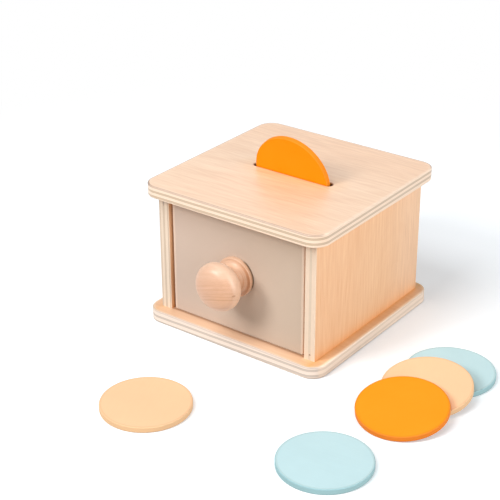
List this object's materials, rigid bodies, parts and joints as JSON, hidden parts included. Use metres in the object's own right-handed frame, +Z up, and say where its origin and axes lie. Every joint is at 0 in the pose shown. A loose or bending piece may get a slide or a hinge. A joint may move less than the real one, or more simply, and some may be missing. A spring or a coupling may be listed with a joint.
{
  "type": "object permanence box",
  "caption": "Plywood toy box with a coin slot in its lid, a knobbed drawer that slides out to give the coin back, and loose wooden coins.",
  "frame": {"origin": "centre of the base's underside", "axes": "+Z up, -Y towards the side that the drawer opens to, +X to the right as seen from the drawer's side"},
  "size_m": [0.247, 0.27, 0.1367],
  "materials": {
    "base_plywood": "satin lacquer on plywood, cream and brown plies on the edges",
    "lid_plywood": "satin lacquer on plywood, cream and brown plies on the edges",
    "wall_plywood": "satin lacquer on plywood, grain upright",
    "dowel_wood": "bare",
    "front_paint": "matte warm grey paint",
    "drawer_wood": "smooth, bare",
    "knob_wood": "turned, satin",
    "screw_steel": "plated",
    "orange_paint": "matte paint",
    "cream_paint": "matte paint",
    "blue_paint": "matte paint"
  },
  "bodies": {
    "box": {"base_panel": "base_plywood", "top_panel": "lid_plywood", "left_wall": "wall_plywood", "right_wall": "wall_plywood", "back_wall": "wall_plywood", "base_dowels": "dowel_wood", "lid_dowels": "dowel_wood"},
    "drawer": {"drawer_front": "front_paint", "drawer_left_side": "drawer_wood", "drawer_right_side": "drawer_wood", "drawer_back": "drawer_wood", "drawer_bottom": "drawer_wood", "knob": "knob_wood", "knob_screw": "screw_steel"},
    "coin_in_slot": {"slot_coin": "orange_paint"},
    "coin_cream": {"cream_coin": "cream_paint"},
    "coin_blue": {"blue_coin": "blue_paint"},
    "fan_blue": {"fan_blue_coin": "blue_paint"},
    "fan_cream": {"fan_cream_coin": "cream_paint"},
    "fan_orange": {"fan_orange_coin": "orange_paint"}
  },
  "joints": [
    {"name": "drawer_slide", "type": "slide", "parent": "box", "child": "drawer", "axis": [0, -1, 0], "range_m": [0, 0.131]},
    {"name": "slot_coin_slide", "type": "slide", "parent": "box", "child": "coin_in_slot", "axis": [0, -0.1962, 0.9806], "range_m": [-0.0619, 0.033]},
    {"name": "cream_coin_lift", "type": "slide", "parent": "box", "child": "coin_cream", "axis": [0, 0, 1], "range_m": [0, 0.15]},
    {"name": "blue_coin_lift", "type": "slide", "parent": "box", "child": "coin_blue", "axis": [0, 0, 1], "range_m": [0, 0.15]},
    {"name": "fan_blue_lift", "type": "slide", "parent": "box", "child": "fan_blue", "axis": [0, 0, 1], "range_m": [0, 0.15]},
    {"name": "fan_cream_lift", "type": "slide", "parent": "fan_blue", "child": "fan_cream", "axis": [0, 0, 1], "range_m": [0, 0.15]},
    {"name": "fan_orange_lift", "type": "slide", "parent": "fan_cream", "child": "fan_orange", "axis": [0, 0, 1], "range_m": [0, 0.15]}
  ]
}
